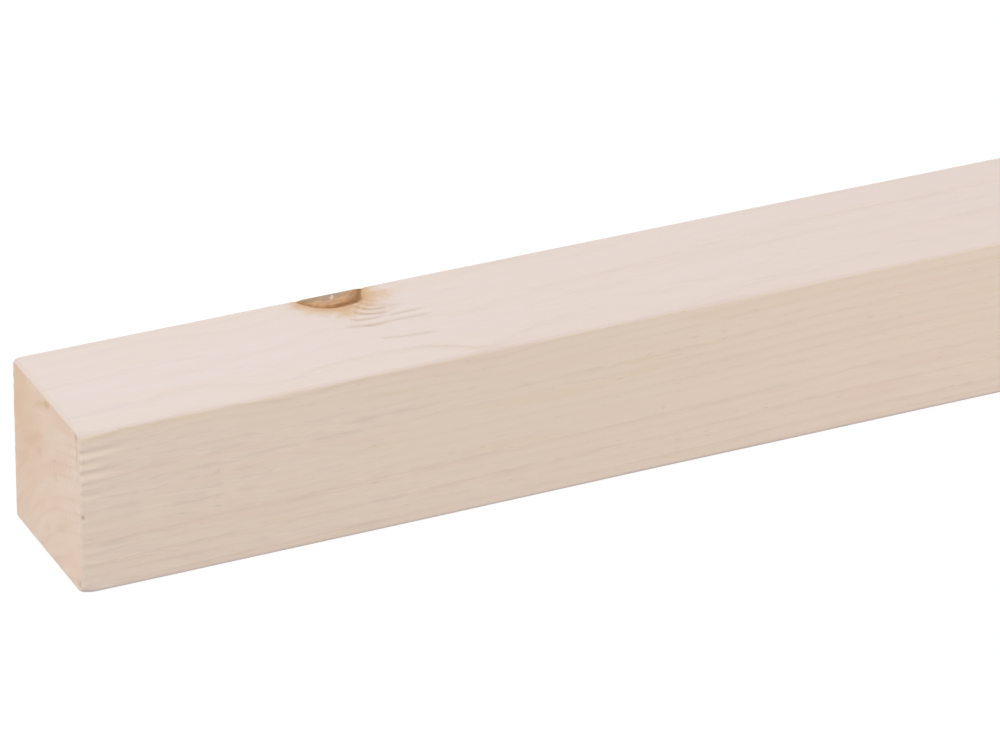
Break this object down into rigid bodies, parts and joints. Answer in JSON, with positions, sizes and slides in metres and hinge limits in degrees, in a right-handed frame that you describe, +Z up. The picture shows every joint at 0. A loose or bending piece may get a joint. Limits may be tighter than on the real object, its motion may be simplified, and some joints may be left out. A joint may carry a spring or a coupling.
{
  "type": "wooden batten",
  "caption": "Straight square length of planed pale softwood with eased arrises, lightly broken sawn ends and a knot at an arris, for framing and carpentry.",
  "frame": {"origin": "middle of the underside, as the batten lies flat on a level floor", "axes": "+X along the length, away from the end that the picture shows; +Y across the width, away from the side that the picture shows; +Z up"},
  "size_m": [1, 0.044, 0.044],
  "materials": {
    "planed_softwood": "planed, unfinished, matt"
  },
  "bodies": {
    "root": {"batten": "planed_softwood"}
  },
  "joints": []
}
